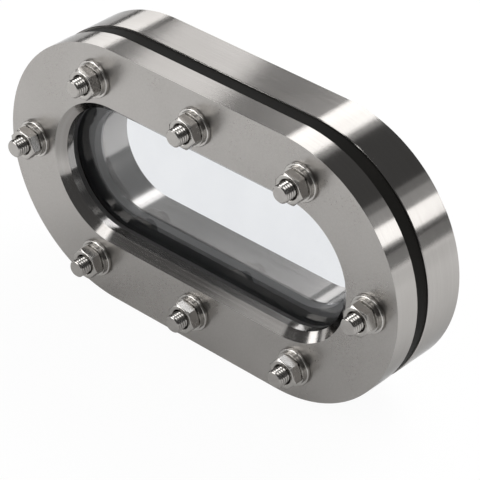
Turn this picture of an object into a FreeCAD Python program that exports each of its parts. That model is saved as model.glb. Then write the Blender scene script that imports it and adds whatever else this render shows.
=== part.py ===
import FreeCAD, Part
import math
import os
import Sketcher

# Oval sight glass. A cover flange clamps an obround glass pane between two gaskets onto a
# base flange that is welded to a vessel wall. Eight studs stand in the base flange and carry
# a flat washer, a spring washer and a low hexagon nut each.
#
# Frame: +X along the long axis, +Z up along the short axis, -Y to the side that is looked at.
# The part stands on the lower straight of its flanges, with the origin below its middle.
# Every flat piece has its back face in its own plane y = 0 and grows forwards, to -Y.
# Every turned piece has its front end in its own plane y = 0 and grows backwards, to +Y.

doc = FreeCAD.newDocument("oval_sight_glass")

# Driving sizes in millimetres and degrees

SIZES = (
    ("window_width", "86"),
    ("window_straight", "137"),
    ("window_bevel", "5.2"),
    ("front_seat_width", "7"),
    ("rear_seat_width", "14"),
    ("glass_play", "1"),
    ("stud_inset", "14"),
    ("corner_turn", "11.2"),
    ("rim_width", "22.5"),
    ("end_trim", "4"),
    ("rim_edge", "0.6"),
    ("cover_thickness", "17"),
    ("cover_recess", "5.5"),
    ("lip_edge", "0.8"),
    ("base_thickness", "28"),
    ("base_recess", "5.5"),
    ("bore_edge", "0.8"),
    ("spacer_inset", "1"),
    ("glass_thickness", "12"),
    ("glass_edge", "1"),
    ("front_gasket_thickness", "3"),
    ("rear_gasket_thickness", "6"),
    ("gasket_setback", "0.5"),
    ("stud_diameter", "12"),
    ("stud_end", "7"),
    ("stud_point", "1.2"),
    ("tapping_spare", "2"),
    ("tapping_floor", "6"),
    ("hole_play", "1"),
    ("washer_diameter", "24"),
    ("washer_thickness", "2.5"),
    ("washer_edge", "0.5"),
    ("spring_diameter", "21"),
    ("spring_thickness", "2.5"),
    ("spring_play", "0.2"),
    ("spring_edge", "0.3"),
    ("spring_gap", "1.6"),
    ("nut_flats", "18"),
    ("nut_height", "7"),
    ("nut_face_relief", "0.45"),
    ("nut_countersink", "0.7"),
)

# Sizes that follow from the driving ones. The widths grow outwards from the window, past the
# glass and the studs to the rim, and the black plate is as thick as the glass stack leaves it.

DERIVED = (
    ("glass_width", "window_width + 2 * front_seat_width"),
    ("bore_width", "glass_width - 2 * rear_seat_width"),
    ("recess_width", "glass_width + 2 * glass_play"),
    ("pitch_width", "recess_width + 2 * stud_inset"),
    ("flange_width", "pitch_width + 2 * rim_width"),
    ("flange_straight", "window_straight - end_trim"),
    ("glass_stack", "front_gasket_thickness + glass_thickness + rear_gasket_thickness"),
    ("spacer_thickness", "glass_stack - cover_recess - base_recess"),
    ("stud_standout", "washer_thickness + spring_thickness + nut_height + stud_end"),
    ("hole_depth", "base_thickness - tapping_floor"),
    ("stud_grip", "hole_depth - tapping_spare"),
    ("stud_length", "stud_standout + cover_thickness + spacer_thickness + stud_grip"),
    ("overall_depth", "stud_standout + cover_thickness + spacer_thickness + base_thickness"),
    ("weld_face_y", "overall_depth / 2"),
    ("spacer_back_y", "weld_face_y - base_thickness"),
    ("cover_back_y", "spacer_back_y - spacer_thickness"),
    ("cover_front_y", "cover_back_y - cover_thickness"),
    ("middle_z", "flange_width / 2"),
    ("corner_x", "window_straight / 2 + pitch_width / 2 * sin(corner_turn * 1 deg)"),
    ("corner_z", "pitch_width / 2 * cos(corner_turn * 1 deg)"),
    ("end_x", "window_straight / 2 + pitch_width / 2"),
    ("nut_corners", "nut_flats / cos(30 deg)"),
)

# Stud stations round the pitch line: name, place along X, place above the middle

STATIONS = (
    ("top_left", "-Sizes.corner_x", "Sizes.corner_z"),
    ("top_middle", "0", "Sizes.pitch_width / 2"),
    ("top_right", "Sizes.corner_x", "Sizes.corner_z"),
    ("right_end", "Sizes.end_x", "0"),
    ("bottom_right", "Sizes.corner_x", "-Sizes.corner_z"),
    ("bottom_middle", "0", "-Sizes.pitch_width / 2"),
    ("bottom_left", "-Sizes.corner_x", "-Sizes.corner_z"),
    ("left_end", "-Sizes.end_x", "0"),
)

# Where each spring washer's split came to lie when its nut was tightened, in degrees
# clockwise from +X as seen from the front

SPLIT_TURNS = (150, 205, 170, 190, 160, 215, 180, 145)

TOLERANCE = 0.001


def fill_sheet():
    sheet = doc.addObject("Spreadsheet::Sheet", "Sizes")
    row = 1
    for alias, number in SIZES:
        sheet.set("A%d" % row, alias)
        sheet.set("B%d" % row, number)
        sheet.setAlias("B%d" % row, alias)
        row += 1
    doc.recompute()
    for alias, formula in DERIVED:
        sheet.set("A%d" % row, alias)
        sheet.set("B%d" % row, "=" + formula)
        sheet.setAlias("B%d" % row, alias)
        row += 1
        doc.recompute()
    return sheet


sheet = fill_sheet()


def value(expression):
    """The number that an expression in the sheet's names comes to."""
    result = sheet.evalExpression(expression)
    return float(getattr(result, "Value", result))


# Helpers for bodies and sketches


def new_body(label):
    body = doc.addObject("PartDesign::Body", label)
    body.Label = label
    return body


def origin_plane(body, role):
    planes = [item for item in body.Origin.OriginFeatures if item.Role == role]
    return planes[0]


def plane_sketch(body, name, role, forward="0"):
    """A sketch on an origin plane of its own body, moved forward along that plane's normal."""
    sketch = body.newObject("Sketcher::SketchObject", name)
    sketch.AttachmentSupport = [(origin_plane(body, role), "")]
    sketch.MapMode = "FlatFace"
    if forward != "0":
        sketch.setExpression("AttachmentOffset.Base.z", forward)
    return sketch


def place(body, x, y, z):
    """Ties a body's place to expressions."""
    for axis, expression in (("x", x), ("y", y), ("z", z)):
        if expression != "0":
            body.setExpression("Placement.Base." + axis, expression)


def drive(sketch, constraint, expression):
    """Adds a constraint whose size is an expression."""
    number = sketch.addConstraint(constraint)
    sketch.setExpression("Constraints[%d]" % number, expression)


def draw_obround(sketch, straight, width):
    """Two straights joined by two half circles, centred on the sketch's origin."""
    half = value(straight) / 2
    radius = value(width) / 2
    normal = FreeCAD.Vector(0, 0, 1)
    quarter = math.pi / 2

    def point(x, y):
        return FreeCAD.Vector(x, y, 0)

    def half_circle(x, start):
        circle = Part.Circle(point(x, 0), normal, radius)
        return Part.ArcOfCircle(circle, start, start + math.pi)

    top = sketch.addGeometry(Part.LineSegment(point(-half, radius), point(half, radius)))
    right = sketch.addGeometry(half_circle(half, -quarter))
    bottom = sketch.addGeometry(Part.LineSegment(point(half, -radius), point(-half, -radius)))
    left = sketch.addGeometry(half_circle(-half, quarter))
    sketch.addConstraint(Sketcher.Constraint("Tangent", top, 2, right, 2))
    sketch.addConstraint(Sketcher.Constraint("Tangent", right, 1, bottom, 1))
    sketch.addConstraint(Sketcher.Constraint("Tangent", bottom, 2, left, 2))
    sketch.addConstraint(Sketcher.Constraint("Tangent", left, 1, top, 1))
    sketch.addConstraint(Sketcher.Constraint("Horizontal", top))
    sketch.addConstraint(Sketcher.Constraint("Equal", right, left))
    sketch.addConstraint(Sketcher.Constraint("Symmetric", left, 3, right, 3, -1, 1))
    drive(sketch, Sketcher.Constraint("DistanceX", left, 3, right, 3, 2 * half), straight)
    drive(sketch, Sketcher.Constraint("Radius", right, radius), "(%s) / 2" % width)


def draw_profile(sketch, corners):
    """A closed outline of straights whose corners are pairs of expressions."""
    points = [FreeCAD.Vector(value(x), value(y), 0) for x, y in corners]
    count = len(points)
    first = sketch.GeometryCount
    for number in range(count):
        line = Part.LineSegment(points[number], points[(number + 1) % count])
        sketch.addGeometry(line)
    for number, (x, y) in enumerate(corners):
        before = first + (number - 1) % count
        line = first + number
        sketch.addConstraint(Sketcher.Constraint("Coincident", before, 2, line, 1))
        if x == "0":
            sketch.addConstraint(Sketcher.Constraint("PointOnObject", line, 1, -2))
        else:
            across = Sketcher.Constraint("DistanceX", -1, 1, line, 1, points[number].x)
            drive(sketch, across, x)
        if y == "0":
            sketch.addConstraint(Sketcher.Constraint("PointOnObject", line, 1, -1))
        else:
            along = Sketcher.Constraint("DistanceY", -1, 1, line, 1, points[number].y)
            drive(sketch, along, y)


def draw_stud_circles(sketch, diameter):
    """One circle at each stud station, mirrored about both axes."""
    radius = value(diameter) / 2
    circles = {}
    for name, x, z in STATIONS:
        centre = FreeCAD.Vector(value(x), value(z), 0)
        circle = Part.Circle(centre, FreeCAD.Vector(0, 0, 1), radius)
        circles[name] = sketch.addGeometry(circle)
    top = circles["top_middle"]
    end = circles["right_end"]
    corner = circles["top_right"]
    drive(sketch, Sketcher.Constraint("Diameter", top, 2 * radius), diameter)
    for name in circles:
        if name != "top_middle":
            sketch.addConstraint(Sketcher.Constraint("Equal", top, circles[name]))
    sketch.addConstraint(Sketcher.Constraint("PointOnObject", top, 3, -2))
    sketch.addConstraint(Sketcher.Constraint("PointOnObject", end, 3, -1))
    half_pitch = value("pitch_width / 2")
    drive(sketch, Sketcher.Constraint("DistanceY", -1, 1, top, 3, half_pitch), "Sizes.pitch_width / 2")
    drive(sketch, Sketcher.Constraint("DistanceX", -1, 1, end, 3, value("end_x")), "Sizes.end_x")
    drive(sketch, Sketcher.Constraint("DistanceX", -1, 1, corner, 3, value("corner_x")), "Sizes.corner_x")
    drive(sketch, Sketcher.Constraint("DistanceY", -1, 1, corner, 3, value("corner_z")), "Sizes.corner_z")
    mirrored = (
        ("top_middle", "bottom_middle", -1),
        ("right_end", "left_end", -2),
        ("top_right", "top_left", -2),
        ("top_right", "bottom_right", -1),
        ("top_left", "bottom_left", -1),
    )
    for one, other, axis in mirrored:
        pair = Sketcher.Constraint("Symmetric", circles[one], 3, circles[other], 3, axis)
        sketch.addConstraint(pair)


# Helpers for features


def pad(body, name, sketch, length):
    feature = body.newObject("PartDesign::Pad", name)
    feature.Profile = sketch
    feature.setExpression("Length", length)
    sketch.Visibility = False
    return feature


def pocket(body, name, sketch, length, forwards):
    """A cut from the sketch's plane, backwards to +Y or forwards to -Y."""
    feature = body.newObject("PartDesign::Pocket", name)
    feature.Profile = sketch
    feature.setExpression("Length", length)
    feature.Reversed = forwards
    sketch.Visibility = False
    return feature


def turn(body, name, sketch):
    """A turned piece round the Y axis."""
    feature = body.newObject("PartDesign::Revolution", name)
    feature.Profile = sketch
    feature.ReferenceAxis = (sketch, ["V_Axis"])
    feature.Angle = 360
    sketch.Visibility = False
    return feature


def stud_holes(body, name, forward, diameter, depth, pointed):
    """Eight round holes, drilled backwards from the plane that lies forward of the back face."""
    sketch = plane_sketch(body, name + "_circles", "XZ_Plane", forward)
    draw_stud_circles(sketch, diameter)
    doc.recompute()
    feature = body.newObject("PartDesign::Hole", name)
    feature.Profile = sketch
    doc.recompute()
    feature.ThreadType = 0
    feature.HoleCutType = 0
    feature.DepthType = 0
    feature.DrillPoint = 1 if pointed else 0
    if pointed:
        feature.DrillPointAngle = 118
    feature.setExpression("Diameter", diameter)
    feature.setExpression("Depth", depth)
    sketch.Visibility = False
    return feature


def outline_edges(feature, forward, straight, width):
    """The edges that run round one obround outline, in a plane forward of the back face."""
    doc.recompute()
    plane = -value(forward)
    half = value(straight) / 2
    radius = value(width) / 2
    names = []
    for number, edge in enumerate(feature.Shape.Edges, 1):
        box = edge.BoundBox
        if abs(box.YMin - plane) > TOLERANCE or abs(box.YMax - plane) > TOLERANCE:
            continue
        middle = edge.valueAt((edge.FirstParameter + edge.LastParameter) / 2)
        beyond = max(abs(middle.x) - half, 0)
        if abs(math.hypot(beyond, middle.z) - radius) < TOLERANCE:
            names.append("Edge%d" % number)
    return names


def bevel(body, name, feature, edges, size):
    """A 45 degree bevel along the named edges of a feature."""
    result = body.newObject("PartDesign::Chamfer", name)
    result.Base = (feature, edges)
    result.setExpression("Size", size)
    return result


# Base flange: a thick obround plate with the bore, the seat for the glass and its rear gasket,
# and eight tapped blind holes. Its back face is the face that is welded on.


def build_base_flange():
    body = new_body("base_flange")
    outline = plane_sketch(body, "base_outline", "XZ_Plane")
    draw_obround(outline, "Sizes.flange_straight", "Sizes.flange_width")
    pad(body, "base_plate", outline, "Sizes.base_thickness")
    seat = plane_sketch(body, "seat_outline", "XZ_Plane", "Sizes.base_thickness")
    draw_obround(seat, "Sizes.window_straight", "Sizes.recess_width")
    pocket(body, "glass_seat", seat, "Sizes.base_recess", False)
    bore = plane_sketch(body, "bore_outline", "XZ_Plane", "Sizes.base_thickness")
    draw_obround(bore, "Sizes.flange_straight", "Sizes.bore_width")
    pocket(body, "viewing_bore", bore, "Sizes.base_thickness", False)
    depth = "Sizes.hole_depth"
    holes = stud_holes(body, "tapped_holes", "Sizes.base_thickness", "Sizes.stud_diameter", depth, True)
    rims = outline_edges(holes, "0", "Sizes.flange_straight", "Sizes.flange_width")
    front = ("Sizes.base_thickness", "Sizes.flange_straight", "Sizes.flange_width")
    rims += outline_edges(holes, *front)
    rim = bevel(body, "rim_bevel", holes, rims, "Sizes.rim_edge")
    ends = outline_edges(rim, "0", "Sizes.flange_straight", "Sizes.bore_width")
    floor = "Sizes.base_thickness - Sizes.base_recess"
    ends += outline_edges(rim, floor, "Sizes.flange_straight", "Sizes.bore_width")
    bevel(body, "bore_bevel", rim, ends, "Sizes.bore_edge")
    place(body, "0", "Sizes.weld_face_y", "Sizes.middle_z")
    return body


# Cover flange: a thinner obround plate with a bevelled window. The lip round the window holds
# the front gasket, which lies with the glass in a recess in the plate's back.


def build_cover_flange():
    body = new_body("cover_flange")
    outline = plane_sketch(body, "cover_outline", "XZ_Plane")
    draw_obround(outline, "Sizes.flange_straight", "Sizes.flange_width")
    pad(body, "cover_plate", outline, "Sizes.cover_thickness")
    recess = plane_sketch(body, "recess_outline", "XZ_Plane")
    draw_obround(recess, "Sizes.window_straight", "Sizes.recess_width")
    pocket(body, "glass_recess", recess, "Sizes.cover_recess", True)
    window = plane_sketch(body, "window_outline", "XZ_Plane", "Sizes.cover_thickness")
    draw_obround(window, "Sizes.window_straight", "Sizes.window_width")
    pocket(body, "window", window, "Sizes.cover_thickness", False)
    width = "Sizes.stud_diameter + Sizes.hole_play"
    forward = "Sizes.cover_thickness"
    holes = stud_holes(body, "clearance_holes", forward, width, forward, False)
    mouth = outline_edges(holes, forward, "Sizes.window_straight", "Sizes.window_width")
    wide = bevel(body, "window_bevelled", holes, mouth, "Sizes.window_bevel")
    rims = outline_edges(wide, "0", "Sizes.flange_straight", "Sizes.flange_width")
    rims += outline_edges(wide, forward, "Sizes.flange_straight", "Sizes.flange_width")
    rim = bevel(body, "rim_bevel", wide, rims, "Sizes.rim_edge")
    lip = outline_edges(rim, "Sizes.cover_recess", "Sizes.window_straight", "Sizes.window_width")
    bevel(body, "lip_bevel", rim, lip, "Sizes.lip_edge")
    place(body, "0", "Sizes.cover_back_y", "Sizes.middle_z")
    return body


# Spacer gasket: the black rubber plate between the flanges. It surrounds the glass, lets the
# studs through and stands a little back from the flange rims.


def build_spacer_gasket():
    body = new_body("spacer_gasket")
    outline = plane_sketch(body, "spacer_outline", "XZ_Plane")
    draw_obround(outline, "Sizes.flange_straight", "Sizes.flange_width - 2 * Sizes.spacer_inset")
    pad(body, "spacer_plate", outline, "Sizes.spacer_thickness")
    opening = plane_sketch(body, "glass_opening_outline", "XZ_Plane", "Sizes.spacer_thickness")
    draw_obround(opening, "Sizes.window_straight", "Sizes.recess_width")
    pocket(body, "glass_opening", opening, "Sizes.spacer_thickness", False)
    width = "Sizes.stud_diameter + Sizes.hole_play"
    forward = "Sizes.spacer_thickness"
    stud_holes(body, "stud_openings", forward, width, forward, False)
    place(body, "0", "Sizes.spacer_back_y", "Sizes.middle_z")
    return body


# Glass pane: an obround slab of toughened glass with ground edges.


def build_glass_pane():
    body = new_body("glass_pane")
    outline = plane_sketch(body, "glass_outline", "XZ_Plane")
    draw_obround(outline, "Sizes.window_straight", "Sizes.glass_width")
    slab = pad(body, "glass_slab", outline, "Sizes.glass_thickness")
    edges = outline_edges(slab, "0", "Sizes.window_straight", "Sizes.glass_width")
    edges += outline_edges(slab, "Sizes.glass_thickness", "Sizes.window_straight", "Sizes.glass_width")
    bevel(body, "ground_edges", slab, edges, "Sizes.glass_edge")
    back = "Sizes.cover_back_y - Sizes.cover_recess + Sizes.front_gasket_thickness + Sizes.glass_thickness"
    place(body, "0", back, "Sizes.middle_z")
    return body


# Front and rear gaskets: flat obround rubber rings that bear on the edge of the glass.


def build_ring_gasket(label, opening_straight, opening_width, thickness, back):
    body = new_body(label)
    ring = plane_sketch(body, label + "_ring", "XZ_Plane")
    draw_obround(ring, "Sizes.window_straight", "Sizes.glass_width")
    draw_obround(ring, opening_straight, opening_width + " + 2 * Sizes.gasket_setback")
    pad(body, label + "_plate", ring, thickness)
    place(body, "0", back, "Sizes.middle_z")
    return body


def build_front_gasket():
    back = "Sizes.cover_back_y - Sizes.cover_recess + Sizes.front_gasket_thickness"
    thickness = "Sizes.front_gasket_thickness"
    straight = "Sizes.window_straight"
    return build_ring_gasket("front_gasket", straight, "Sizes.window_width", thickness, back)


def build_rear_gasket():
    back = "Sizes.spacer_back_y + Sizes.base_recess"
    thickness = "Sizes.rear_gasket_thickness"
    straight = "Sizes.flange_straight"
    return build_ring_gasket("rear_gasket", straight, "Sizes.bore_width", thickness, back)


# Stud: a threaded rod with pointed ends, screwed into the base flange. Its thread is drawn as
# a plain shank at the thread's outer diameter.


def build_stud(station, x, z):
    body = new_body("stud_" + station)
    section = plane_sketch(body, "stud_section_" + station, "XY_Plane")
    radius = "Sizes.stud_diameter / 2"
    small = "Sizes.stud_diameter / 2 - Sizes.stud_point"
    shoulder = "Sizes.stud_length - Sizes.stud_point"
    corners = (
        ("0", "0"),
        (small, "0"),
        (radius, "Sizes.stud_point"),
        (radius, shoulder),
        (small, "Sizes.stud_length"),
        ("0", "Sizes.stud_length"),
    )
    draw_profile(section, corners)
    turn(body, "stud_turned_" + station, section)
    place(body, x, "Sizes.cover_front_y - Sizes.stud_standout", "Sizes.middle_z + " + z)
    return body


# Flat washer: a ring with its rims eased, flat on the cover.


def build_flat_washer(station, x, z):
    body = new_body("flat_washer_" + station)
    section = plane_sketch(body, "washer_section_" + station, "XY_Plane")
    inner = "(Sizes.stud_diameter + Sizes.hole_play) / 2"
    outer = "Sizes.washer_diameter / 2"
    corners = (
        (inner, "0"),
        (outer + " - Sizes.washer_edge", "0"),
        (outer, "Sizes.washer_edge"),
        (outer, "Sizes.washer_thickness"),
        (inner, "Sizes.washer_thickness"),
    )
    draw_profile(section, corners)
    turn(body, "washer_turned_" + station, section)
    place(body, x, "Sizes.cover_front_y - Sizes.washer_thickness", "Sizes.middle_z + " + z)
    return body


# Spring washer: one turn of square wire, pressed flat, with a slanting split.


def build_spring_washer(station, x, z, split_turn):
    body = new_body("spring_washer_" + station)
    section = plane_sketch(body, "spring_section_" + station, "XY_Plane")
    inner = "Sizes.stud_diameter / 2 + Sizes.spring_play"
    outer = "Sizes.spring_diameter / 2"
    edge = "Sizes.spring_edge"
    back = "Sizes.spring_thickness"
    corners = (
        (inner, "0"),
        (outer + " - " + edge, "0"),
        (outer, edge),
        (outer, back + " - " + edge),
        (outer + " - " + edge, back),
        (inner, back),
    )
    draw_profile(section, corners)
    turn(body, "spring_turned_" + station, section)
    split = plane_sketch(body, "split_outline_" + station, "YZ_Plane")
    slant = "Sizes.spring_thickness / 2"
    gap = "Sizes.spring_gap / 2"
    slot = (
        ("0", "-" + gap + " - " + slant),
        ("0", gap + " - " + slant),
        (back, gap + " + " + slant),
        (back, slant + " - " + gap),
    )
    draw_profile(split, slot)
    pocket(body, "split_" + station, split, outer, True)
    body.Placement.Rotation = FreeCAD.Rotation(FreeCAD.Vector(0, 1, 0), split_turn)
    y = "Sizes.cover_front_y - Sizes.washer_thickness - Sizes.spring_thickness"
    place(body, x, y, "Sizes.middle_z + " + z)
    return body


# Low hexagon nut: a turned blank with both faces crowned and countersunk, and six flats cut
# round it. A corner points along X. Its thread bears on the stud's outer diameter.


def build_nut(station, x, z):
    body = new_body("nut_" + station)
    section = plane_sketch(body, "nut_section_" + station, "XY_Plane")
    hole = "Sizes.stud_diameter / 2"
    mouth = hole + " + Sizes.nut_countersink"
    crown = "Sizes.nut_flats / 2 - Sizes.nut_face_relief"
    corner = "Sizes.nut_corners / 2"
    rise = "(Sizes.nut_corners / 2 - Sizes.nut_flats / 2 + Sizes.nut_face_relief) * tan(30 deg)"
    back = "Sizes.nut_height"
    corners = (
        (hole, "Sizes.nut_countersink"),
        (mouth, "0"),
        (crown, "0"),
        (corner, rise),
        (corner, back + " - " + rise),
        (crown, back),
        (mouth, back),
        (hole, back + " - Sizes.nut_countersink"),
    )
    draw_profile(section, corners)
    turn(body, "nut_turned_" + station, section)
    flat = plane_sketch(body, "flat_outline_" + station, "XZ_Plane")
    low = "Sizes.nut_flats / 2"
    slab = (
        ("-Sizes.nut_corners", low),
        ("Sizes.nut_corners", low),
        ("Sizes.nut_corners", "Sizes.nut_corners"),
        ("-Sizes.nut_corners", "Sizes.nut_corners"),
    )
    draw_profile(flat, slab)
    cut = pocket(body, "nut_flat_" + station, flat, back, False)
    doc.recompute()
    pattern = body.newObject("PartDesign::PolarPattern", "nut_flats_" + station)
    pattern.Originals = [cut]
    pattern.Axis = (flat, ["N_Axis"])
    pattern.Angle = 360
    pattern.Occurrences = 6
    body.Tip = pattern
    y = "Sizes.cover_front_y - Sizes.washer_thickness - Sizes.spring_thickness - Sizes.nut_height"
    place(body, x, y, "Sizes.middle_z + " + z)
    return body


# The whole assembly, from the back to the front


def build_all():
    bodies = [
        build_base_flange(),
        build_rear_gasket(),
        build_spacer_gasket(),
        build_glass_pane(),
        build_front_gasket(),
        build_cover_flange(),
    ]
    for (station, x, z), split_turn in zip(STATIONS, SPLIT_TURNS):
        bodies.append(build_stud(station, x, z))
        bodies.append(build_flat_washer(station, x, z))
        bodies.append(build_spring_washer(station, x, z, split_turn))
        bodies.append(build_nut(station, x, z))
    doc.recompute()
    return bodies


def check_document(bodies):
    """Stops on a failed feature, a cut that took nothing away, or a shape that isn't one solid."""
    for item in doc.Objects:
        if "Invalid" in item.State or "Error" in item.State:
            raise RuntimeError("%s failed: %s" % (item.Name, item.State))
        if item.TypeId in ("PartDesign::Pocket", "PartDesign::Hole", "PartDesign::PolarPattern"):
            before = item.BaseFeature.Shape.Volume
            if item.Shape.Volume > before - TOLERANCE:
                raise RuntimeError("%s cuts nothing" % item.Name)
    for body in bodies:
        shape = body.Shape
        if shape.isNull() or not shape.isValid() or len(shape.Solids) != 1:
            raise RuntimeError("%s has no single valid solid" % body.Label)


def write_steps(bodies):
    os.makedirs("parts", exist_ok=True)
    for body in bodies:
        body.Shape.exportStep("parts/%s.step" % body.Label)
        print("%-28s %10.1f mm3" % (body.Label, body.Shape.Volume))


all_bodies = build_all()
check_document(all_bodies)
write_steps(all_bodies)
print("pieces:", len(all_bodies))
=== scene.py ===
import math

import bpy
from mathutils import Matrix, Vector


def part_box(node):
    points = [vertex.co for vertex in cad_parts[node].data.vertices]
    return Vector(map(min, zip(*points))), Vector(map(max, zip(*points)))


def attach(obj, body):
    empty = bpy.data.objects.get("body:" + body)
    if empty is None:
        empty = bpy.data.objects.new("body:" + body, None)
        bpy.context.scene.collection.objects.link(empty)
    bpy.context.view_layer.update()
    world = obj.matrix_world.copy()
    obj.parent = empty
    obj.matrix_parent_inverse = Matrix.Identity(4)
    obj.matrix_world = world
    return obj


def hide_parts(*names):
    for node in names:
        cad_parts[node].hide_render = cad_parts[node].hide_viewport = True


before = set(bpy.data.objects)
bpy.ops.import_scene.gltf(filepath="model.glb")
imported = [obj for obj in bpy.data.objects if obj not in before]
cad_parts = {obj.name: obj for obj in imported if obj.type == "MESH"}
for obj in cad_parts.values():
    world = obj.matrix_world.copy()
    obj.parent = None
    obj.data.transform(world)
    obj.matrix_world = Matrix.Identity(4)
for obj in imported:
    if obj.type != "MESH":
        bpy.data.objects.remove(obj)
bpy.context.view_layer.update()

# Base flange. The thick obround plate of stainless steel at the back, which is welded to the
# vessel wall. Its rim is turned, its face is satin and its bore is polished. The glass lies in
# a seat cut into its front face.

MM = 0.001
ARC_STEPS = 96
ROUND_SIDES = 48
MERGE_DISTANCE = 0.001 * MM
SHARP_ANGLE = math.radians(25)
SMOOTH_ANGLE = math.radians(35)
base_low, base_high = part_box("base_flange")
glass_low, glass_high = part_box("glass_pane")
rear_gasket_low, rear_gasket_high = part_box("rear_gasket")
MIDDLE_Z = (base_low.z + base_high.z) / 2
FLANGE_RADIUS = (base_high.z - base_low.z) / 2
FLANGE_STRAIGHT = (base_high.x - base_low.x) - 2 * FLANGE_RADIUS
GLASS_RADIUS = (glass_high.z - glass_low.z) / 2
GLASS_STRAIGHT = (glass_high.x - glass_low.x) - 2 * GLASS_RADIUS
END_TRIM = (GLASS_STRAIGHT - FLANGE_STRAIGHT) / 2
BORE_RADIUS = 36 * MM
SEAT_RADIUS = GLASS_RADIUS + 1 * MM
WALL_REACH = SEAT_RADIUS + 3 * MM
BORE_MARGIN = 2 * MM
RIM_EDGE = 0.4 * MM
BORE_EDGE = 0.8 * MM
BASE_ROUNDING = 0.22 * MM
STUD_RADIUS = 6 * MM
STUD_HOLE_DEPTH = 22 * MM
DRILL_OVERRUN = 5 * MM
STATIONS = (
    "top_left",
    "top_middle",
    "top_right",
    "right_end",
    "bottom_right",
    "bottom_middle",
    "bottom_left",
    "left_end",
)


def deselect_all():
    if bpy.context.mode != "OBJECT":
        bpy.ops.object.mode_set(mode="OBJECT")
    bpy.ops.object.select_all(action="DESELECT")


def select_only(piece):
    deselect_all()
    piece.select_set(True)
    bpy.context.view_layer.objects.active = piece


def select_corners(piece, test):
    """Selects the corners of a mesh whose places pass a test. It ends in edit mode."""
    select_only(piece)
    bpy.ops.object.mode_set(mode="EDIT")
    bpy.ops.mesh.select_mode(type="VERT")
    bpy.ops.mesh.select_all(action="DESELECT")
    bpy.ops.object.mode_set(mode="OBJECT")
    for corner in piece.data.vertices:
        corner.select = test(corner.co)
    bpy.ops.object.mode_set(mode="EDIT")


def draw_outline(name, corners):
    """Extrudes one vertex from corner to corner. It ends in edit mode with all selected."""
    deselect_all()
    bpy.ops.mesh.primitive_plane_add(size=1 * MM, location=corners[0])
    piece = bpy.context.object
    piece.name = name
    piece.data.name = name
    bpy.ops.object.mode_set(mode="EDIT")
    bpy.ops.mesh.select_mode(type="VERT")
    bpy.ops.mesh.select_all(action="SELECT")
    bpy.ops.mesh.merge(type="CENTER")
    for here, there in zip(corners, corners[1:]):
        step = Vector(there) - Vector(here)
        bpy.ops.mesh.extrude_region_move(TRANSFORM_OT_translate={"value": step})
    bpy.ops.mesh.select_all(action="SELECT")
    return piece


def close_up(piece):
    """Merges what meets, turns the faces outwards and puts the piece's place into its mesh."""
    bpy.ops.mesh.select_all(action="SELECT")
    bpy.ops.mesh.remove_doubles(threshold=MERGE_DISTANCE)
    bpy.ops.mesh.select_all(action="SELECT")
    bpy.ops.mesh.normals_make_consistent(inside=False)
    bpy.ops.object.mode_set(mode="OBJECT")
    bpy.ops.object.transform_apply(location=True, rotation=True, scale=True)
    return piece


def sweep_obround(name, section, straight):
    """Sweeps a section of (y, radius) corners round two straights and two half circles."""
    half = straight / 2
    corners = [(half, y, MIDDLE_Z + radius) for y, radius in section]
    piece = draw_outline(name, corners)
    bpy.ops.mesh.remove_doubles(threshold=MERGE_DISTANCE)
    left = (-half, 0, MIDDLE_Z)
    right = (half, 0, MIDDLE_Z)
    bpy.ops.mesh.extrude_region_move(TRANSFORM_OT_translate={"value": (-straight, 0, 0)})
    bpy.ops.mesh.spin(steps=ARC_STEPS, angle=math.pi, center=left, axis=(0, 1, 0))
    bpy.ops.mesh.extrude_region_move(TRANSFORM_OT_translate={"value": (straight, 0, 0)})
    bpy.ops.mesh.spin(steps=ARC_STEPS, angle=math.pi, center=right, axis=(0, 1, 0))
    return close_up(piece)


def apply_modifier(piece, kind, **settings):
    select_only(piece)
    modifier = piece.modifiers.new(kind.lower(), kind)
    for name, setting in settings.items():
        setattr(modifier, name, setting)
    bpy.ops.object.modifier_apply(modifier=modifier.name)


def soften_edges(piece, width, segments):
    """Rounds each sharp edge, shades the roundings smooth and keeps the flat faces flat."""
    apply_modifier(
        piece,
        "BEVEL",
        width=width,
        segments=segments,
        limit_method="ANGLE",
        angle_limit=SHARP_ANGLE,
    )
    select_only(piece)
    bpy.ops.object.shade_smooth_by_angle(angle=SMOOTH_ANGLE)
    apply_modifier(piece, "WEIGHTED_NORMAL", keep_sharp=True)


def round_bars(name, radius, front, back):
    """One round bar at each stud's place, to cut the stud holes with."""
    deselect_all()
    bars = []
    for station in STATIONS:
        low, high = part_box("stud_" + station)
        middle = ((low.x + high.x) / 2, (front + back) / 2, (low.z + high.z) / 2)
        bpy.ops.mesh.primitive_cylinder_add(
            vertices=ROUND_SIDES,
            radius=radius,
            depth=back - front,
            location=middle,
            rotation=(math.pi / 2, 0, 0),
        )
        bars.append(bpy.context.object)
    deselect_all()
    for bar in bars:
        bar.select_set(True)
    bpy.context.view_layer.objects.active = bars[0]
    bpy.ops.object.join()
    cutter = bpy.context.object
    cutter.name = name
    bpy.ops.object.transform_apply(location=True, rotation=True, scale=True)
    return cutter


def drill(piece, radius, front, back):
    """Cuts the eight stud holes, from a depth in front to a depth behind."""
    cutter = round_bars(piece.name + "_drill", radius, front, back)
    apply_modifier(piece, "BOOLEAN", operation="DIFFERENCE", solver="EXACT", object=cutter)
    bpy.data.objects.remove(cutter)


def set_input(node, name, value):
    node.inputs[name].default_value = value


def new_material(name):
    """A node material, with its node tree and its Principled shader."""
    material = bpy.data.materials.new(name)
    material.use_nodes = True
    tree = material.node_tree
    return material, tree, tree.nodes["Principled BSDF"]


EQUAL_SHARE = 0.5


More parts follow.
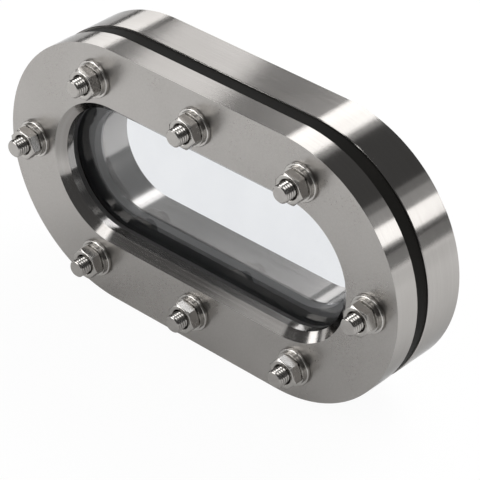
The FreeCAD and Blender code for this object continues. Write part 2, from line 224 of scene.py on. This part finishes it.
def make_grain_group():
    """A node group of fine lines or specks that change colour, gloss and height a little.

    Large soft clouds and the lines have equal shares in the colour and the gloss."""
    group = bpy.data.node_groups.new("machining_grain", "ShaderNodeTree")
    sockets = group.interface
    sockets.new_socket("Stretch", in_out="INPUT", socket_type="NodeSocketVector")
    sockets.new_socket("Light Colour", in_out="INPUT", socket_type="NodeSocketColor")
    sockets.new_socket("Dark Colour", in_out="INPUT", socket_type="NodeSocketColor")
    sockets.new_socket("Smooth", in_out="INPUT", socket_type="NodeSocketFloat")
    sockets.new_socket("Rough", in_out="INPUT", socket_type="NodeSocketFloat")
    sockets.new_socket("Colour", in_out="OUTPUT", socket_type="NodeSocketColor")
    sockets.new_socket("Roughness", in_out="OUTPUT", socket_type="NodeSocketFloat")
    sockets.new_socket("Height", in_out="OUTPUT", socket_type="NodeSocketFloat")
    nodes = group.nodes
    links = group.links
    inputs = nodes.new("NodeGroupInput")
    outputs = nodes.new("NodeGroupOutput")
    place = nodes.new("ShaderNodeTexCoord")
    stretch = nodes.new("ShaderNodeVectorMath")
    stretch.operation = "MULTIPLY"
    links.new(place.outputs["Object"], stretch.inputs[0])
    links.new(inputs.outputs["Stretch"], stretch.inputs[1])
    lines = nodes.new("ShaderNodeTexNoise")
    set_input(lines, "Scale", 1.0)
    set_input(lines, "Detail", 3.0)
    set_input(lines, "Roughness", 0.6)
    links.new(stretch.outputs["Vector"], lines.inputs["Vector"])
    clouds = nodes.new("ShaderNodeTexNoise")
    set_input(clouds, "Scale", 22.0)
    set_input(clouds, "Detail", 2.0)
    links.new(place.outputs["Object"], clouds.inputs["Vector"])
    blend = nodes.new("ShaderNodeMath")
    blend.operation = "MULTIPLY_ADD"
    set_input(blend, 1, EQUAL_SHARE)
    links.new(lines.outputs["Fac"], blend.inputs[0])
    half = nodes.new("ShaderNodeMath")
    half.operation = "MULTIPLY"
    set_input(half, 1, EQUAL_SHARE)
    links.new(clouds.outputs["Fac"], half.inputs[0])
    links.new(half.outputs["Value"], blend.inputs[2])
    spread = nodes.new("ShaderNodeMapRange")
    set_input(spread, "From Min", 0.35)
    set_input(spread, "From Max", 0.65)
    links.new(blend.outputs["Value"], spread.inputs["Value"])
    tint = nodes.new("ShaderNodeMix")
    tint.data_type = "RGBA"
    links.new(spread.outputs["Result"], tint.inputs["Factor"])
    links.new(inputs.outputs["Dark Colour"], tint.inputs["A"])
    links.new(inputs.outputs["Light Colour"], tint.inputs["B"])
    gloss = nodes.new("ShaderNodeMix")
    gloss.data_type = "FLOAT"
    links.new(spread.outputs["Result"], gloss.inputs["Factor"])
    links.new(inputs.outputs["Smooth"], gloss.inputs["A"])
    links.new(inputs.outputs["Rough"], gloss.inputs["B"])
    links.new(tint.outputs["Result"], outputs.inputs["Colour"])
    links.new(gloss.outputs["Result"], outputs.inputs["Roughness"])
    links.new(lines.outputs["Fac"], outputs.inputs["Height"])
    return group


GRAIN = make_grain_group()


def add_grain(tree, shader, light, dark, smooth, rough, stretch):
    """Puts the grain into a shader's colour and roughness."""
    grain = tree.nodes.new("ShaderNodeGroup")
    grain.node_tree = GRAIN
    set_input(grain, "Stretch", stretch)
    set_input(grain, "Light Colour", (*light, 1))
    set_input(grain, "Dark Colour", (*dark, 1))
    set_input(grain, "Smooth", smooth)
    set_input(grain, "Rough", rough)
    tree.links.new(grain.outputs["Colour"], shader.inputs["Base Color"])
    tree.links.new(grain.outputs["Roughness"], shader.inputs["Roughness"])
    return grain


def add_relief(tree, shader, grain, depth):
    """Makes the grain stand out of the surface by a given depth."""
    relief = tree.nodes.new("ShaderNodeBump")
    set_input(relief, "Strength", 1.0)
    set_input(relief, "Distance", depth)
    tree.links.new(grain.outputs["Height"], relief.inputs["Height"])
    tree.links.new(relief.outputs["Normal"], shader.inputs["Normal"])


def steel(name, light, dark, smooth, rough, stretch, relief_depth):
    """A bare steel finish with machining marks of the given depth."""
    material, tree, shader = new_material(name)
    set_input(shader, "Metallic", 1.0)
    set_input(shader, "Specular Tint", GRAZING_TINT)
    grain = add_grain(tree, shader, light, dark, smooth, rough, stretch)
    add_relief(tree, shader, grain, relief_depth)
    return material


FLAT_FACE = 0.9
GRAZING_TINT = (0.55, 0.55, 0.55, 1)
STEEL_LIGHT = (0.425, 0.41, 0.395)
STEEL_DARK = (0.37, 0.355, 0.34)
satin_face = steel(
    "satin_face", STEEL_LIGHT, STEEL_DARK, smooth=0.26, rough=0.32,
    stretch=(900, 900, 900), relief_depth=0.002 * MM,
)
turned_rim = steel(
    "turned_rim", STEEL_LIGHT, STEEL_DARK, smooth=0.09, rough=0.13,
    stretch=(10, 2400, 10), relief_depth=0.02 * MM,
)
turned_bevel = steel(
    "turned_bevel", STEEL_LIGHT, STEEL_DARK, smooth=0.09, rough=0.14,
    stretch=(6, 900, 6), relief_depth=0.002 * MM,
)
polished_bore = steel(
    "polished_bore", STEEL_LIGHT, STEEL_DARK, smooth=0.14, rough=0.18,
    stretch=(6, 500, 6), relief_depth=0.002 * MM,
)


def radius_at(place):
    """How far a place lies from the line between the centres of the flange's two ends."""
    beyond = max(abs(place.x) - FLANGE_STRAIGHT / 2, 0)
    return math.hypot(beyond, place.z - MIDDLE_Z)


def finish_flange(piece, wall_finish):
    """Satin on the flat faces, turned marks on the rim, and a finer finish on the walls."""
    piece.data.materials.clear()
    for material in (satin_face, turned_rim, wall_finish):
        piece.data.materials.append(material)
    for face in piece.data.polygons:
        if abs(face.normal.y) > FLAT_FACE:
            face.material_index = 0
        elif radius_at(face.center) > WALL_REACH:
            face.material_index = 1
        else:
            face.material_index = 2


def sweep_flange(name, outer, inner, kept_radius=0.0):
    """Sweeps the rim and the walls of the window as one closed section.

    The ends of the walls are then moved to go round the glass. What lies within the given
    radius stays, because the ends of the bore follow those of the rim."""
    flange = sweep_obround(name, outer + inner + outer[:1], FLANGE_STRAIGHT)
    for side in (-1, 1):
        select_corners(
            flange,
            lambda place: side * place.x > 0 and kept_radius < radius_at(place) < WALL_REACH,
        )
        bpy.ops.transform.translate(value=(side * END_TRIM, 0, 0))
        bpy.ops.object.mode_set(mode="OBJECT")
    return flange


seat_floor = rear_gasket_high.y
base_section = (
    (base_low.y, FLANGE_RADIUS - RIM_EDGE),
    (base_low.y + RIM_EDGE, FLANGE_RADIUS),
    (base_high.y - RIM_EDGE, FLANGE_RADIUS),
    (base_high.y, FLANGE_RADIUS - RIM_EDGE),
)
bore_section = (
    (base_high.y, BORE_RADIUS + BORE_EDGE),
    (base_high.y - BORE_EDGE, BORE_RADIUS),
    (seat_floor + BORE_EDGE, BORE_RADIUS),
    (seat_floor, BORE_RADIUS + BORE_EDGE),
    (seat_floor, SEAT_RADIUS),
    (base_low.y, SEAT_RADIUS),
)
base = sweep_flange("base_plate", base_section, bore_section, BORE_RADIUS + BORE_MARGIN)
drill(base, STUD_RADIUS, base_low.y - DRILL_OVERRUN, base_low.y + STUD_HOLE_DEPTH)
soften_edges(base, BASE_ROUNDING, segments=3)
finish_flange(base, polished_bore)
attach(base, "root")
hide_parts("base_flange")

# Rear gasket. A flat ring of dark grey rubber on the floor of the base flange's seat. The glass
# presses on it, so its front face shows through the pane, and its inner edge above the bore.

GASKET_SETBACK = 0.5 * MM
GASKET_ROUNDING = 0.35 * MM
RUBBER_STRETCH = (1400, 1400, 1400)
RUBBER_RELIEF = 0.01 * MM
SEAT_GREY = (0.036, 0.036, 0.036)
SEAT_WORN = (0.054, 0.054, 0.054)


def rubber(name, colour, worn, smooth, rough):
    """Moulded rubber: a dull skin with a fine speckle and paler cloudy patches."""
    material, tree, shader = new_material(name)
    grain = add_grain(tree, shader, worn, colour, smooth, rough, RUBBER_STRETCH)
    add_relief(tree, shader, grain, RUBBER_RELIEF)
    return material


seat_rubber = rubber("seat_rubber", SEAT_GREY, SEAT_WORN, smooth=0.45, rough=0.55)


def ring_gasket(name, low, high, inner_radius, kept_radius=0.0):
    """A flat ring of seat rubber with the outline of the glass."""
    outer = ((low.y, GLASS_RADIUS), (high.y, GLASS_RADIUS))
    inner = ((high.y, inner_radius), (low.y, inner_radius))
    ring = sweep_flange(name, outer, inner, kept_radius)
    soften_edges(ring, GASKET_ROUNDING, segments=3)
    ring.data.materials.append(seat_rubber)
    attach(ring, "root")
    return ring


rear_inner = BORE_RADIUS + GASKET_SETBACK
rear_ring = ring_gasket(
    "rear_ring", rear_gasket_low, rear_gasket_high, rear_inner, rear_inner + BORE_MARGIN
)
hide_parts("rear_gasket")

# Glass pane. A thick obround slab of clear toughened glass with ground edges, clamped between
# the two ring gaskets. Its faces are polished and carry only a faint haze.

GLASS_EDGE = 1 * MM
AIR_FILM = 0.03 * MM
HAZE_LIGHT = (0.82, 0.835, 0.855)
HAZE_DARK = (0.77, 0.785, 0.81)
pane_front = glass_low.y + AIR_FILM
pane_back = glass_high.y - AIR_FILM
pane_section = (
    (pane_front, GLASS_RADIUS - GLASS_EDGE),
    (pane_front + GLASS_EDGE, GLASS_RADIUS),
    (pane_back - GLASS_EDGE, GLASS_RADIUS),
    (pane_back, GLASS_RADIUS - GLASS_EDGE),
)
pane = sweep_obround("pane", pane_section, GLASS_STRAIGHT)
for depth in (pane_front, pane_back):
    select_corners(pane, lambda place: abs(place.y - depth) < 0.1 * AIR_FILM)
    bpy.ops.mesh.edge_face_add()
    bpy.ops.object.mode_set(mode="OBJECT")
select_only(pane)
bpy.ops.object.mode_set(mode="EDIT")
close_up(pane)
bpy.ops.object.shade_smooth_by_angle(angle=SMOOTH_ANGLE)

clear_glass, tree, shader = new_material("clear_glass")
set_input(shader, "Transmission Weight", 1.0)
set_input(shader, "IOR", 1.5)
add_grain(
    tree, shader, HAZE_LIGHT, HAZE_DARK, smooth=0.0, rough=0.02, stretch=(40, 40, 40)
)
pane.data.materials.append(clear_glass)
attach(pane, "root")
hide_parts("glass_pane")

# Front gasket. The thinner ring of the same rubber between the glass and the cover's lip. Only
# its inner edge shows, as a thin line round the window.

front_gasket_low, front_gasket_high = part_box("front_gasket")
WINDOW_RADIUS = 43 * MM
front_ring = ring_gasket(
    "front_ring", front_gasket_low, front_gasket_high, WINDOW_RADIUS + GASKET_SETBACK
)
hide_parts("front_gasket")

# Spacer plate. A plate of smooth black rubber that fills the space between the flanges round
# the glass. Its edge shows as the black band round the rim, set in by a millimetre.

spacer_low, spacer_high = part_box("spacer_gasket")
SPACER_RADIUS = (spacer_high.z - spacer_low.z) / 2
SPACER_ROUNDING = 0.3 * MM
HOLE_RADIUS = 6.5 * MM
BAND_SHEEN = 0.04
BAND_BLACK = (0.007, 0.007, 0.006)
BAND_WORN = (0.013, 0.012, 0.011)
spacer_outer = ((spacer_low.y, SPACER_RADIUS), (spacer_high.y, SPACER_RADIUS))
spacer_inner = ((spacer_high.y, SEAT_RADIUS), (spacer_low.y, SEAT_RADIUS))
spacer = sweep_flange("spacer_plate", spacer_outer, spacer_inner)
drill(spacer, HOLE_RADIUS, spacer_low.y - DRILL_OVERRUN, spacer_high.y + DRILL_OVERRUN)
soften_edges(spacer, SPACER_ROUNDING, segments=3)
black_rubber = rubber("black_rubber", BAND_BLACK, BAND_WORN, smooth=0.46, rough=0.58)
shader = black_rubber.node_tree.nodes["Principled BSDF"]
set_input(shader, "Specular IOR Level", BAND_SHEEN)
spacer.data.materials.append(black_rubber)
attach(spacer, "root")
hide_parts("spacer_gasket")

# Cover flange. The thinner plate in front, with the bevelled and polished window. A lip behind
# the bevel holds the front gasket, and the recess behind the lip takes gasket and glass.

cover_low, cover_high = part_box("cover_flange")
WINDOW_BEVEL = 5.2 * MM
LIP_EDGE = 0.8 * MM
COVER_ROUNDING = 0.4 * MM
lip_back = front_gasket_low.y
cover_section = ((cover_low.y, FLANGE_RADIUS), (cover_high.y, FLANGE_RADIUS))
window_section = (
    (cover_high.y, SEAT_RADIUS),
    (lip_back, SEAT_RADIUS),
    (lip_back, WINDOW_RADIUS + LIP_EDGE),
    (lip_back - LIP_EDGE, WINDOW_RADIUS),
    (cover_low.y + WINDOW_BEVEL, WINDOW_RADIUS),
    (cover_low.y, WINDOW_RADIUS + WINDOW_BEVEL),
)
cover = sweep_flange("cover_plate", cover_section, window_section)
drill(cover, HOLE_RADIUS, cover_low.y - DRILL_OVERRUN, cover_high.y + DRILL_OVERRUN)
soften_edges(cover, COVER_ROUNDING, segments=4)
finish_flange(cover, turned_bevel)
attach(cover, "root")
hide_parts("cover_flange")

# Studs. Eight M12 studs of bright stainless steel stand in the base flange. Their ends have a
# rolled thread with a bevelled point, and the rest of each is hidden in the holes.

stud_low, stud_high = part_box("stud_top_middle")
PITCH = 1.75 * MM
THREAD_TURNS = 8
TURN_STEPS = 40
THREAD_CREST = 5.60 * MM
THREAD_ROOT = 5.10 * MM
THREAD_LENGTH = 9.5 * MM
LEAD_IN = 1.2 * PITCH
CREST_START = 0.42 * PITCH
CREST_END = 0.54 * PITCH
ROOT_START = 0.96 * PITCH
CUT_DISTANCE = 0.0001 * MM
SHANK_RADIUS = 5.95 * MM
SHANK_BEVEL = 0.8 * MM
SHANK_OVERLAP = 1 * MM
POINT_RADIUS = 4.75 * MM
POINT_STEPS = 64
BLANK_MARGIN = 0.1 * MM
BLANK_OVERRUN = 1 * MM
BLANK_RADIUS = THREAD_CREST + BLANK_MARGIN
NEAR_AXIS = 0.01 * MM
STUD_ROUNDING = 0.05 * MM
THREAD_LIGHT = (0.44, 0.425, 0.405)
THREAD_DARK = (0.38, 0.365, 0.35)
tip_y = stud_low.y
thread_back = tip_y + THREAD_LENGTH


def turn_section(name, section, steps):
    """Turns a closed section of (radius, y) corners round the Y axis."""
    corners = [(radius, y, 0) for radius, y in section]
    piece = draw_outline(name, corners)
    bpy.ops.mesh.spin(steps=steps, angle=2 * math.pi, center=(0, 0, 0), axis=(0, 1, 0))
    return close_up(piece)


def copy_to_stations(master, turns=(0,) * len(STATIONS)):
    """Copies a piece that is modelled round the Y axis to each stud's place."""
    copies = {}
    for station, turn in zip(STATIONS, turns):
        low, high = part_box("stud_" + station)
        select_only(master)
        bpy.ops.object.duplicate(linked=False)
        copy = bpy.context.object
        copy.name = master.name + "_" + station
        copy.location = ((low.x + high.x) / 2, 0, (low.z + high.z) / 2)
        copy.rotation_euler = (0, math.radians(turn), 0)
        bpy.ops.object.transform_apply(location=True, rotation=True, scale=True)
        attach(copy, "root")
        copies[station] = copy
    bpy.data.objects.remove(master)
    return copies


thread_start = tip_y - LEAD_IN
flank = (
    (THREAD_ROOT, thread_start),
    (THREAD_CREST, thread_start + CREST_START),
    (THREAD_CREST, thread_start + CREST_END),
    (THREAD_ROOT, thread_start + ROOT_START),
    (THREAD_ROOT, thread_start + PITCH),
)
stud = draw_outline("stud_end", [(radius, y, 0) for radius, y in flank])
close_up(stud)
apply_modifier(
    stud,
    "SCREW",
    axis="Y",
    screw_offset=PITCH,
    iterations=THREAD_TURNS,
    steps=TURN_STEPS,
    render_steps=TURN_STEPS,
)
bpy.ops.object.mode_set(mode="EDIT")
bpy.ops.mesh.select_mode(type="VERT")
for depth, tip_side in ((tip_y, True), (thread_back, False)):
    bpy.ops.mesh.select_all(action="SELECT")
    bpy.ops.mesh.remove_doubles(threshold=MERGE_DISTANCE)
    bpy.ops.mesh.select_all(action="SELECT")
    bpy.ops.mesh.bisect(
        plane_co=(0, depth, 0),
        plane_no=(0, 1, 0),
        use_fill=True,
        clear_inner=tip_side,
        clear_outer=not tip_side,
        threshold=CUT_DISTANCE,
    )
close_up(stud)
point_section = (
    (NEAR_AXIS, tip_y - BLANK_OVERRUN),
    (POINT_RADIUS - BLANK_OVERRUN, tip_y - BLANK_OVERRUN),
    (BLANK_RADIUS, tip_y + (BLANK_RADIUS - POINT_RADIUS)),
    (BLANK_RADIUS, thread_back + BLANK_OVERRUN),
    (NEAR_AXIS, thread_back + BLANK_OVERRUN),
    (NEAR_AXIS, tip_y - BLANK_OVERRUN),
)
point = turn_section("point", point_section, POINT_STEPS)
apply_modifier(stud, "BOOLEAN", operation="INTERSECT", solver="EXACT", object=point)
bpy.data.objects.remove(point)
deselect_all()
bpy.ops.mesh.primitive_cylinder_add(
    vertices=ROUND_SIDES,
    radius=SHANK_RADIUS,
    depth=stud_high.y - thread_back + SHANK_OVERLAP,
    location=(0, (stud_high.y + thread_back - SHANK_OVERLAP) / 2, 0),
    rotation=(math.pi / 2, 0, 0),
)
shank = bpy.context.object
bpy.ops.object.mode_set(mode="EDIT")
bpy.ops.mesh.bevel(offset=SHANK_BEVEL, segments=1)
close_up(shank)
stud.select_set(True)
bpy.context.view_layer.objects.active = stud
bpy.ops.object.join()
soften_edges(stud, STUD_ROUNDING, segments=1)
bright_thread = steel(
    "bright_thread", THREAD_LIGHT, THREAD_DARK, smooth=0.18, rough=0.26,
    stretch=(300, 500, 300), relief_depth=0.003 * MM,
)
stud.data.materials.append(bright_thread)
for station, copy in copy_to_stations(stud).items():
    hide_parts("stud_" + station)

# Flat washers. Pressed rings of bright steel that lie on the cover, with edges that tumbling
# has rounded.

washer_low, washer_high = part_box("flat_washer_top_middle")
WASHER_RADIUS = (washer_high.x - washer_low.x) / 2
WASHER_ROUNDING = 0.7 * MM
RING_STEPS = 72
WASHER_LIGHT = (0.53, 0.515, 0.495)
WASHER_DARK = (0.46, 0.445, 0.425)


def ring_section(inner, outer, front, back):
    """The closed section of a flat ring, for turning."""
    return ((inner, front), (outer, front), (outer, back), (inner, back), (inner, front))


washer_section = ring_section(HOLE_RADIUS, WASHER_RADIUS, washer_low.y, washer_high.y)
washer = turn_section("flat_washer", washer_section, RING_STEPS)
soften_edges(washer, WASHER_ROUNDING, segments=4)
bright_washer = steel(
    "bright_washer", WASHER_LIGHT, WASHER_DARK, smooth=0.14, rough=0.20,
    stretch=(500, 500, 500), relief_depth=0.003 * MM,
)
washer.data.materials.append(bright_washer)
for station, copy in copy_to_stations(washer).items():
    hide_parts("flat_washer_" + station)

# Spring washers. Each is one turn of bright square wire with a slanting split, pressed flat
# under its nut. The splits came to lie at different turns when the nuts were tightened.

spring_low, spring_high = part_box("spring_washer_top_middle")
SPRING_RADIUS = 10.5 * MM
SPRING_BORE = 6.2 * MM
SPRING_ROUNDING = 0.6 * MM
SPLIT_GAP = 1.6 * MM
SAW_LENGTH = 7 * MM
SPLIT_TURNS = (150, 205, 170, 190, 160, 215, 180, 145)
spring_section = ring_section(SPRING_BORE, SPRING_RADIUS, spring_low.y, spring_high.y)
spring = turn_section("spring_washer", spring_section, RING_STEPS)
slant = (spring_high.y - spring_low.y) / 2
saw_start = SPRING_BORE - 1 * MM
slot_front = spring_low.y - slant
slot_back = spring_high.y + slant
slot_corners = (
    (saw_start, slot_front, -SPLIT_GAP / 2 - 2 * slant),
    (saw_start, slot_front, SPLIT_GAP / 2 - 2 * slant),
    (saw_start, slot_back, SPLIT_GAP / 2 + 2 * slant),
    (saw_start, slot_back, -SPLIT_GAP / 2 + 2 * slant),
)
saw = draw_outline("saw", slot_corners)
bpy.ops.mesh.edge_face_add()
bpy.ops.mesh.extrude_region_move(TRANSFORM_OT_translate={"value": (SAW_LENGTH, 0, 0)})
close_up(saw)
apply_modifier(spring, "BOOLEAN", operation="DIFFERENCE", solver="EXACT", object=saw)
bpy.data.objects.remove(saw)
soften_edges(spring, SPRING_ROUNDING, segments=4)
spring.data.materials.append(bright_washer)
for station, copy in copy_to_stations(spring, SPLIT_TURNS).items():
    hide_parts("spring_washer_" + station)

# Nuts. Low hexagon nuts of stainless steel, 18 mm across their flats, with both faces crowned
# and countersunk. A corner of each stands ten degrees off the flange's long axis.

nut_low, nut_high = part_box("nut_top_middle")
NUT_FLATS = 18 * MM
NUT_CORNERS = NUT_FLATS / math.cos(math.pi / 6)
CROWN_INSET = 0.45 * MM
NUT_CROWN = NUT_FLATS / 2 - CROWN_INSET
NUT_BORE = 6.2 * MM
COUNTERSINK = 0.6 * MM
NUT_ROUNDING = 0.3 * MM
NUT_TURN = 10
NUT_LIGHT = (0.47, 0.455, 0.435)
NUT_DARK = (0.41, 0.395, 0.375)
blank_radius = NUT_CORNERS / 2 + BLANK_MARGIN
crown_rise = (blank_radius - NUT_CROWN) * math.tan(math.pi / 6)
blank_section = (
    (NUT_BORE, nut_low.y + COUNTERSINK),
    (NUT_BORE + COUNTERSINK, nut_low.y),
    (NUT_CROWN, nut_low.y),
    (blank_radius, nut_low.y + crown_rise),
    (blank_radius, nut_high.y - crown_rise),
    (NUT_CROWN, nut_high.y),
    (NUT_BORE + COUNTERSINK, nut_high.y),
    (NUT_BORE, nut_high.y - COUNTERSINK),
    (NUT_BORE, nut_low.y + COUNTERSINK),
)
nut = turn_section("nut", blank_section, RING_STEPS)
deselect_all()
bpy.ops.mesh.primitive_cylinder_add(
    vertices=6,
    radius=NUT_CORNERS / 2,
    depth=nut_high.y - nut_low.y + 2 * BLANK_OVERRUN,
    location=(0, (nut_low.y + nut_high.y) / 2, 0),
    rotation=(math.pi / 2, math.pi / 6, 0),
)
hexagon = bpy.context.object
bpy.ops.object.transform_apply(location=True, rotation=True, scale=True)
apply_modifier(nut, "BOOLEAN", operation="INTERSECT", solver="EXACT", object=hexagon)
bpy.data.objects.remove(hexagon)
soften_edges(nut, NUT_ROUNDING, segments=3)
nut_steel = steel(
    "nut_steel", NUT_LIGHT, NUT_DARK, smooth=0.22, rough=0.28,
    stretch=(700, 700, 700), relief_depth=0.001 * MM,
)
nut.data.materials.append(nut_steel)
for station, copy in copy_to_stations(nut, (NUT_TURN,) * len(STATIONS)).items():
    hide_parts("nut_" + station)

# Camera: a long lens from the front right and above, as in the photograph. Its turn, height,
# roll, distance and aim come from the flange's outlines.

AZIMUTH = math.radians(41.704)
ELEVATION = math.radians(34.046)
ROLL = math.radians(1.207)
DISTANCE = 1.49743
SIDE_STEP = 0.026667
RISE = -0.011056
LENS = 191.81
SENSOR_WIDTH = 36

back = Vector((
    math.sin(AZIMUTH) * math.cos(ELEVATION),
    -math.cos(AZIMUTH) * math.cos(ELEVATION),
    math.sin(ELEVATION),
))
level = (-back).cross(Vector((0, 0, 1))).normalized()
upright = level.cross(-back)
right = math.cos(ROLL) * level + math.sin(ROLL) * upright
up = -math.sin(ROLL) * level + math.cos(ROLL) * upright
aim = Vector((0, cover_low.y, MIDDLE_Z))
eye = aim + SIDE_STEP * right + RISE * up + DISTANCE * back
deselect_all()
bpy.ops.object.camera_add()
camera = bpy.context.object
camera.name = "camera"
camera.matrix_world = Matrix.Translation(eye) @ Matrix((right, up, back)).transposed().to_4x4()
camera.data.lens = LENS
camera.data.sensor_width = SENSOR_WIDTH
camera.data.clip_end = 50
bpy.context.scene.camera = camera

# Floor: a plain sheet of white paper under and behind the part. It shows nearly white to the
# camera and through the glass, as dim paper in the steel, and keeps a soft shadow.

PAPER_SEEN = 0.95
PAPER_MIRRORED = 0.12
deselect_all()
bpy.ops.mesh.primitive_plane_add(size=12, location=(0, 0, 0))
floor = bpy.context.object
floor.name = "floor"
paper, tree, shader = new_material("white_paper")
set_input(shader, "Base Color", (0.93, 0.93, 0.93, 1))
set_input(shader, "Roughness", 0.9)
glow = tree.nodes.new("ShaderNodeEmission")
set_input(glow, "Strength", 1.0)
mix = tree.nodes.new("ShaderNodeMixShader")
rays = tree.nodes.new("ShaderNodeLightPath")
seen = tree.nodes.new("ShaderNodeMath")
seen.operation = "MAXIMUM"
tree.links.new(rays.outputs["Is Camera Ray"], seen.inputs[0])
tree.links.new(rays.outputs["Is Transmission Ray"], seen.inputs[1])
seen_share = tree.nodes.new("ShaderNodeMath")
seen_share.operation = "MULTIPLY"
set_input(seen_share, 1, PAPER_SEEN)
tree.links.new(seen.outputs["Value"], seen_share.inputs[0])
share = tree.nodes.new("ShaderNodeMath")
share.operation = "MULTIPLY_ADD"
set_input(share, 1, PAPER_MIRRORED)
tree.links.new(rays.outputs["Is Glossy Ray"], share.inputs[0])
tree.links.new(seen_share.outputs["Value"], share.inputs[2])
tree.links.new(share.outputs["Value"], mix.inputs["Fac"])
tree.links.new(shader.outputs["BSDF"], mix.inputs[1])
tree.links.new(glow.outputs["Emission"], mix.inputs[2])
tree.links.new(mix.outputs["Shader"], tree.nodes["Material Output"].inputs["Surface"])
floor.data.materials.append(paper)

# World: white where the camera looks past the part, also through its glass. Elsewhere it is a
# plain studio, which lights dull surfaces evenly and hardly shows in the steel.

STUDIO_LEVEL = 0.76
STUDIO_MIRRORED = 0.10
BEFORE_FIRST_MIRROR = 0.5
world = bpy.data.worlds.new("studio")
bpy.context.scene.world = world
world.use_nodes = True
tree = world.node_tree
dim = tree.nodes["Background"]
set_input(dim, "Color", (1, 1, 1, 1))
bright = tree.nodes.new("ShaderNodeBackground")
set_input(bright, "Color", (1, 1, 1, 1))
set_input(bright, "Strength", 1.0)
rays = tree.nodes.new("ShaderNodeLightPath")
studio = tree.nodes.new("ShaderNodeMapRange")
set_input(studio, "To Min", STUDIO_LEVEL)
set_input(studio, "To Max", STUDIO_MIRRORED)
tree.links.new(rays.outputs["Is Glossy Ray"], studio.inputs["Value"])
tree.links.new(studio.outputs["Result"], dim.inputs["Strength"])
unturned = tree.nodes.new("ShaderNodeMath")
unturned.operation = "LESS_THAN"
set_input(unturned, 1, BEFORE_FIRST_MIRROR)
tree.links.new(rays.outputs["Glossy Depth"], unturned.inputs[0])
through = tree.nodes.new("ShaderNodeMath")
through.operation = "MULTIPLY"
tree.links.new(rays.outputs["Is Transmission Ray"], through.inputs[0])
tree.links.new(unturned.outputs["Value"], through.inputs[1])
seen = tree.nodes.new("ShaderNodeMath")
seen.operation = "MAXIMUM"
tree.links.new(rays.outputs["Is Camera Ray"], seen.inputs[0])
tree.links.new(through.outputs["Value"], seen.inputs[1])
mix = tree.nodes.new("ShaderNodeMixShader")
tree.links.new(seen.outputs["Value"], mix.inputs["Fac"])
tree.links.new(dim.outputs["Background"], mix.inputs[1])
tree.links.new(bright.outputs["Background"], mix.inputs[2])
tree.links.new(mix.outputs["Shader"], tree.nodes["World Output"].inputs["Surface"])

# Lamps: area lamps that stand where the reflections come from. Nine draw the bands on the rim,
# the next six the glints on bevel, nuts and threads, and the last two are an even sheet overhead
# and a plain lamp behind.

# At 4 watts per square metre the face of an area lamp mirrors as plain white.
POWER_PER_AREA = 4


def soft_box(
    name, place, turn, length, height, radiance, through_glass=True, mirrored=True, lit=True
):
    """A lamp that faces the part, with its length turned by so many degrees from the level.

    It can be left out of what the glass passes, of what the steel mirrors, and of the light on
    dull surfaces."""
    deselect_all()
    bpy.ops.object.light_add(type="AREA")
    lamp = bpy.context.object
    lamp.name = name
    lamp.data.shape = "RECTANGLE"
    lamp.data.size = length
    lamp.data.size_y = height
    lamp.data.energy = POWER_PER_AREA * length * height * radiance
    away = (Vector(place) - Vector((0, 0, MIDDLE_Z))).normalized()
    level = away.cross(Vector((0, 0, 1))).normalized()
    upright = level.cross(away)
    turn = math.radians(turn)
    along = math.cos(turn) * level + math.sin(turn) * upright
    across = away.cross(along)
    axes = Matrix((along, across, away)).transposed().to_4x4()
    lamp.matrix_world = Matrix.Translation(place) @ axes
    lamp.visible_camera = False
    lamp.visible_transmission = through_glass
    lamp.visible_glossy = mirrored
    lamp.visible_diffuse = lit
    return lamp


# Each line gives place, turn, length, height and radiance.
soft_box("left_box", (-1.855, 1.5, 0.72), 74, 0.86, 0.9, 1.8)
soft_box("top_box", (-0.75, 1.5, 1.62), 28.6, 0.80, 0.9, 1.6)
soft_box("top_halo", (-0.70, 1.5, 1.64), 28.6, 1.08, 0.9, 0.36)
soft_box("right_box", (0.490, 0.325, 0.302), -63.7, 0.110, 0.16, 1.5)
soft_box("right_halo", (0.474, 0.325, 0.327), -60.7, 0.21, 0.16, 0.22)
soft_box("right_glow", (0.456, 0.325, 0.349), -60.7, 0.26, 0.16, 0.15)
soft_box("side_sheet", (0.555, 0.325, 0.145), -85, 0.12, 0.16, 0.22)
soft_box("straight_box", (-0.157, 0.15, 0.290), 48, 0.060, 0.14, 0.9, through_glass=False)
soft_box("dim_sheet", (-1.3, 1.5, 1.4), 0, 1.0, 0.8, 0.24, through_glass=False)
soft_box("front_box", (-0.600, -0.780, 0.850), 0, 0.15, 0.30, 0.45, lit=False)
soft_box("low_box", (-1.145, -0.34, 0.27), 0, 0.16, 0.36, 2.2)
soft_box("edge_box", (-0.74, -1.12, 0.42), 0, 0.80, 0.72, 3.5, through_glass=False, lit=False)
soft_box("band_box", (-0.80, -1.47, 1.82), 0, 0.60, 0.66, 1.8, through_glass=False, lit=False)
soft_box("lip_box", (-0.69, -0.30, 1.08), 0, 0.52, 0.35, 4.0, through_glass=False, lit=False)
soft_box("thread_box", (0.26, -0.55, 1.10), 0, 0.60, 0.30, 2.4, through_glass=False, lit=False)
soft_box("overhead_sheet", (0.1, -0.1, 2.8), 0, 2.6, 2.6, 0.30, through_glass=False, lit=False)
soft_box("back_light", (0.2, 2.2, 2.6), 0, 1.5, 1.5, 5.0, through_glass=False, mirrored=False)

bpy.context.scene.view_settings.view_transform = "Standard"
